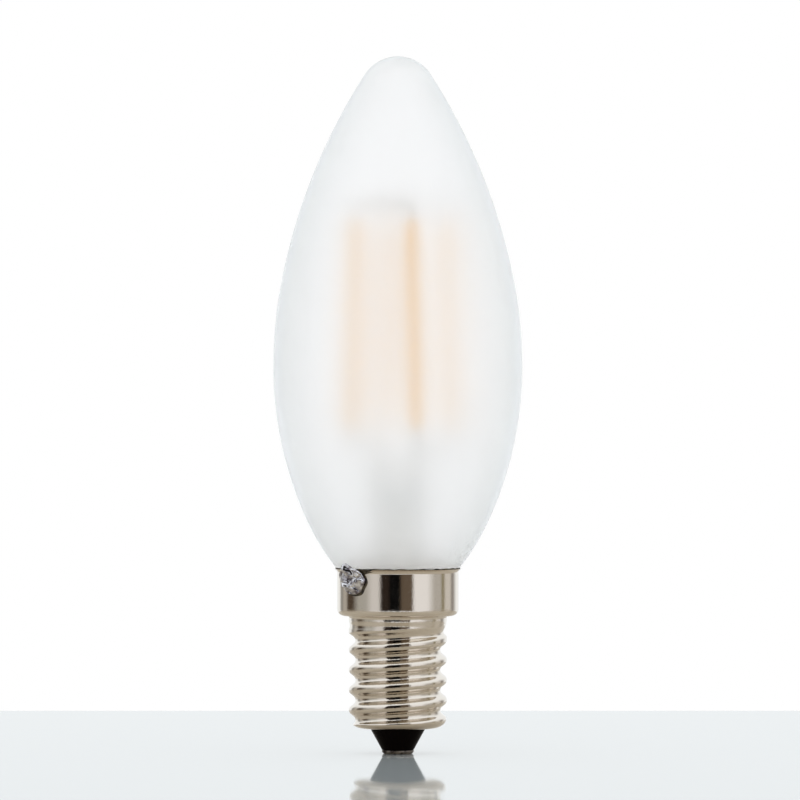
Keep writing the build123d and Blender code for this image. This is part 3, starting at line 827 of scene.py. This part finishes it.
# Painted shade: only camera rays and rays through glass see the pale top; the metal's reflections
# and bounced light get the darker warm brown.
straight = worked_out(table_tree, "MAXIMUM", glance["Is Camera Ray"], glance["Is Transmission Ray"])
table_colour_and_shade = mixed(table_tree, straight, (*table_shade_in_metal, 1.0), (*table_pale, 1.0))
table_tree.links.new(table_colour_and_shade, table_shader.inputs["Base Color"])
from_below = table_tree.nodes.new("ShaderNodeNewGeometry")
clear_below = table_tree.nodes.new("ShaderNodeBsdfTransparent")
one_sided = table_tree.nodes.new("ShaderNodeMixShader")
table_tree.links.new(from_below.outputs["Backfacing"], one_sided.inputs[0])
table_tree.links.new(table_shader.outputs["BSDF"], one_sided.inputs[1])
table_tree.links.new(clear_below.outputs["BSDF"], one_sided.inputs[2])
table_surface = table_tree.nodes["Material Output"].inputs["Surface"]
table_tree.links.new(one_sided.outputs["Shader"], table_surface)
floor_mesh.materials.append(table_top)

# Studio light: a white tent all round, with a dark slit where the camera looks in and a few
# seams and gaps between its panels at the bulb's height. Each panel has its first and last angle
# from the camera's side, and the metal mirrors it. The camera sees plain white behind.
tent_panels = {
    "back left": (-180, -145, (0.95, 0.97, 0.98)),
    "rear left seam": (-136, -131, (0.3, 0.29, 0.27)),
    "rear left": (-124, -116, (0.45, 0.42, 0.38)),
    "door": (-109, -96, (0.07, 0.05, 0.035)),
    "side left": (-80, -64, (0.42, 0.41, 0.38)),
    "front left": (-50, -36, (0.66, 0.64, 0.63)),
    "slit left": (-31, -18, (0.025, 0.017, 0.013)),
    "slit": (-15, 3, (0.002, 0.002, 0.002)),
    "slit right": (8, 27, (0.12, 0.09, 0.065)),
    "front right": (31, 58, (0.86, 0.85, 0.86)),
    "side right": (74, 89, (0.48, 0.46, 0.43)),
    "side right seam": (93, 97, (0.28, 0.25, 0.17)),
    "rear right": (103, 117, (0.64, 0.61, 0.57)),
    "rear right seam": (124, 129, (0.3, 0.28, 0.26)),
    "back right": (145, 180, (0.95, 0.97, 0.98)),
}
panel_foot = (-0.1, -0.2)
panel_head = (0.1, 0.6)
slit_head = (0.68, 0.88)
slit_middle = math.radians(-2)
slit_half_width = math.radians(31)
roof_white = (0.97, 0.985, 1.0, 1.0)
plain_white = (1.0, 1.0, 1.0, 1.0)
world = bpy.data.worlds.new("white_tent")
bpy.context.scene.world = world
world.use_nodes = True
tent = world.node_tree
tent.nodes.clear()
direction = tent.nodes.new("ShaderNodeTexCoord")
axes = tent.nodes.new("ShaderNodeSeparateXYZ")
tent.links.new(direction.outputs["Generated"], axes.inputs["Vector"])
toward = worked_out(tent, "MULTIPLY", axes.outputs["Y"], -1.0)
azimuth = worked_out(tent, "ARCTAN2", axes.outputs["X"], toward)
stops = []
for start, end, colour in tent_panels.values():
    stops += [((edge + 180) / 360, colour) for edge in (start, end)]
panels = ramped(tent, mapped(tent, azimuth, -math.pi, math.pi), stops)
in_slit = worked_out(tent, "COMPARE", azimuth, slit_middle, slit_half_width)
heads = []
for panel, slit in zip(panel_head, slit_head):
    heads.append(worked_out(tent, "MULTIPLY_ADD", in_slit, slit - panel, panel))
roof = mapped(tent, axes.outputs["Z"], *heads, course="SMOOTHSTEP")
ground = mapped(tent, axes.outputs["Z"], *panel_foot, course="SMOOTHSTEP")
off_panels = worked_out(tent, "MAXIMUM", roof, ground)
inside_tent = mixed(tent, off_panels, panels, roof_white)
sight = tent.nodes.new("ShaderNodeLightPath").outputs
mirrored = worked_out(tent, "GREATER_THAN", sight["Is Glossy Ray"], sight["Is Transmission Ray"])
backdrop = tent.nodes.new("ShaderNodeBackground")
tent.links.new(mixed(tent, mirrored, plain_white, inside_tent), backdrop.inputs["Color"])
world_out = tent.nodes.new("ShaderNodeOutputWorld")
tent.links.new(backdrop.outputs["Background"], world_out.inputs["Surface"])

# Light paths: light goes to and fro in the frosted glass and between the shiny turns of the cap.
# Its paths are long and stay unblurred, so the frosting keeps its white and the nickel its edges.
light_paths = bpy.context.scene.cycles
light_paths.max_bounces = 32
light_paths.glossy_bounces = 16
light_paths.transmission_bounces = 32
light_paths.blur_glossy = 0.0

# Camera: a long lens some way off, level with the middle of the bulb, as in the photograph. It
# looks straight across the table at the side where the solder is left of the middle.
eye_side = 0.3 * mm
eye_height = 49.7 * mm
eye_distance = 770 * mm
camera_data = bpy.data.cameras.new("studio_camera")
camera_data.sensor_width = 36.0
camera_data.lens = 246.5
studio_camera = bpy.data.objects.new("studio_camera", camera_data)
bpy.context.scene.collection.objects.link(studio_camera)
studio_camera.location = (eye_side, -eye_distance, eye_height)
studio_camera.rotation_euler = (math.radians(90), 0, 0)
bpy.context.scene.camera = studio_camera
bpy.context.scene.view_settings.view_transform = "Standard"
